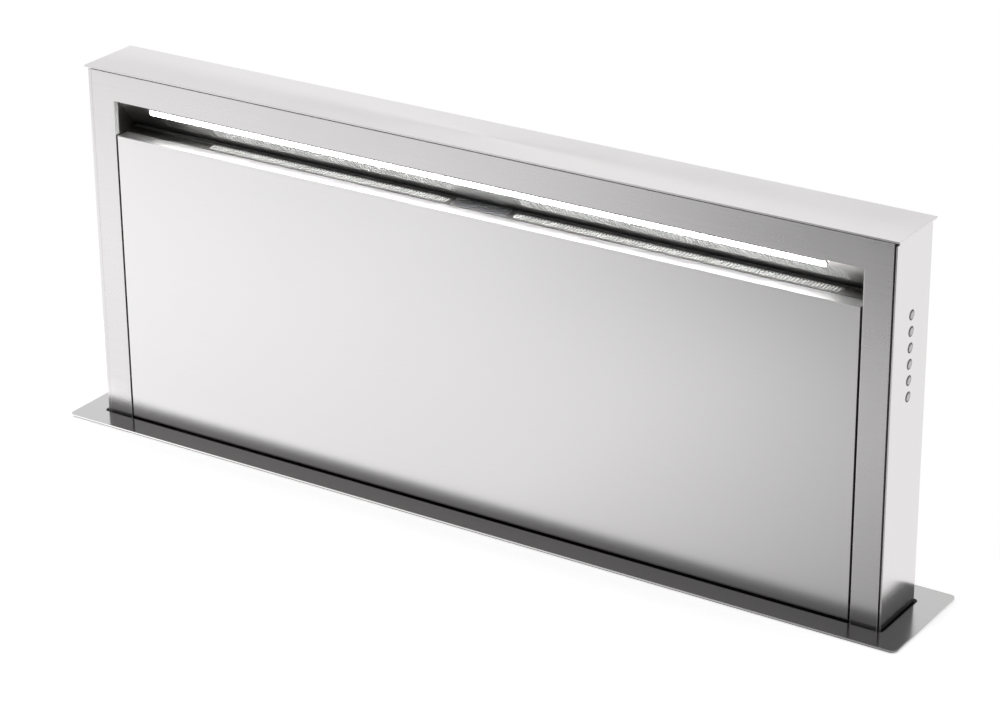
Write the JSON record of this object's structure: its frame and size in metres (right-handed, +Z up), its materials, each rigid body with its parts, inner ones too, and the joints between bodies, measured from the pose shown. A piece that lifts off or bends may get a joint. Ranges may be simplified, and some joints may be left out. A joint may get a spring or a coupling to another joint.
{
  "type": "downdraft vent",
  "caption": "Rising worktop extractor: a flat steel riser with a lit suction slot, front panel and side buttons, on a rack lift over a housing with a fan and duct spigot.",
  "frame": {"origin": "centre of the worktop cut-out, at the worktop surface", "axes": "+Z up, +X to the right of someone who faces the front, with the buttons, and -Y to the front"},
  "size_m": [0.88, 0.3102, 0.8242],
  "materials": {
    "brushed_steel": "brushed stainless steel, fine grain along the width",
    "panel_steel": "satin stainless steel with a polished lip",
    "trough_steel": "polished stainless steel in shadow",
    "galvanised": "galvanised sheet",
    "aluminium": "satin",
    "filter_mesh": "expanded aluminium mesh",
    "black_plastic": "moulded",
    "motor_black": "black paint",
    "foam": "closed-cell foam",
    "lamp_white": "opal diffuser",
    "board_green": "lacquered circuit board",
    "white_plastic": "moulded",
    "button_metal": "satin",
    "gear_steel": "machined"
  },
  "bodies": {
    "root": {"worktop_flange": "brushed_steel", "flange_gasket": "foam", "slot_seal": "black_plastic", "housing_front": "galvanised", "housing_back": "galvanised", "housing_left": "galvanised", "housing_right": "galvanised", "housing_floor": "galvanised", "guide_rails": "aluminium", "lift_racks": "black_plastic", "clamp_brackets": "galvanised", "clamp_screws": "gear_steel", "base_brackets": "galvanised", "limit_switches": "black_plastic", "scroll_casing": "galvanised", "scroll_plate": "galvanised", "scroll_cover": "galvanised", "fan_motor": "motor_black", "outlet_collar": "galvanised", "damper_pin": "gear_steel", "control_box": "galvanised", "control_cover": "galvanised", "control_board": "board_green", "terminal_block": "white_plastic", "cable_gland": "black_plastic"},
    "riser": {"front_frame": "brushed_steel", "riser_left_side": "brushed_steel", "riser_right_side": "brushed_steel", "riser_back": "brushed_steel", "top_cap": "brushed_steel", "suction_trough": "trough_steel", "filter_left": "filter_mesh", "filter_right": "filter_mesh", "led_channel": "aluminium", "led_board": "board_green", "led_diffuser": "lamp_white", "button_carrier": "black_plastic", "button_board": "board_green", "bottom_beam": "galvanised", "drive_plates": "galvanised", "guide_shoes": "white_plastic", "lift_gearbox": "motor_black", "lift_motor": "gear_steel", "shaft_bearings": "galvanised", "panel_hinges": "galvanised", "panel_magnets": "black_plastic"},
    "lift_drive": {"drive_shaft": "gear_steel", "drive_pinions": "gear_steel"},
    "panel": {"front_panel": "panel_steel", "panel_hinge_pins": "gear_steel"},
    "fan_wheel": {"impeller": "aluminium", "motor_shaft": "gear_steel"},
    "flap_left": {"damper_flap_left": "aluminium"},
    "flap_right": {"damper_flap_right": "aluminium"},
    "button_1": {"button_1": "button_metal"},
    "button_2": {"button_2": "button_metal"},
    "button_3": {"button_3": "button_metal"},
    "button_4": {"button_4": "button_metal"},
    "button_5": {"button_5": "button_metal"},
    "button_6": {"button_6": "button_metal"}
  },
  "joints": [
    {"name": "riser_lift", "type": "slide", "parent": "root", "child": "riser", "axis": [0, 0, 1], "range_m": [-0.3465, 0]},
    {"name": "pinion_spin", "type": "hinge", "parent": "riser", "child": "lift_drive", "pos_m": [0, 0.006, -0.097], "axis": [1, 0, 0], "range_deg": [-5, 1480]},
    {"name": "panel_tilt", "type": "hinge", "parent": "riser", "child": "panel", "pos_m": [0, -0.02325, 0.012], "axis": [1, 0, 0], "range_deg": [0, 40]},
    {"name": "button_1_press", "type": "slide", "parent": "riser", "child": "button_1", "axis": [-1, 0, 0], "range_m": [0, 0.0012], "stiffness_N_per_m": 400},
    {"name": "button_2_press", "type": "slide", "parent": "riser", "child": "button_2", "axis": [-1, 0, 0], "range_m": [0, 0.0012], "stiffness_N_per_m": 400},
    {"name": "button_3_press", "type": "slide", "parent": "riser", "child": "button_3", "axis": [-1, 0, 0], "range_m": [0, 0.0012], "stiffness_N_per_m": 400},
    {"name": "button_4_press", "type": "slide", "parent": "riser", "child": "button_4", "axis": [-1, 0, 0], "range_m": [0, 0.0012], "stiffness_N_per_m": 400},
    {"name": "button_5_press", "type": "slide", "parent": "riser", "child": "button_5", "axis": [-1, 0, 0], "range_m": [0, 0.0012], "stiffness_N_per_m": 400},
    {"name": "button_6_press", "type": "slide", "parent": "riser", "child": "button_6", "axis": [-1, 0, 0], "range_m": [0, 0.0012], "stiffness_N_per_m": 400},
    {"name": "fan_spin", "type": "hinge", "parent": "root", "child": "fan_wheel", "pos_m": [-0.04, -0.13, -0.3], "axis": [0, 1, 0], "continuous": true},
    {"name": "flap_left_swing", "type": "hinge", "parent": "root", "child": "flap_left", "pos_m": [-0.253, -0.1252, -0.224], "axis": [0, 0, -1], "range_deg": [0, 70], "stiffness_Nm_per_rad": 0.01},
    {"name": "flap_right_swing", "type": "hinge", "parent": "root", "child": "flap_right", "pos_m": [-0.253, -0.1252, -0.224], "axis": [0, 0, 1], "range_deg": [0, 70], "stiffness_Nm_per_rad": 0.01}
  ],
  "couplings": [
    {"joint": "pinion_spin", "follows": "riser_lift", "rad_per_m": -74.074}
  ]
}
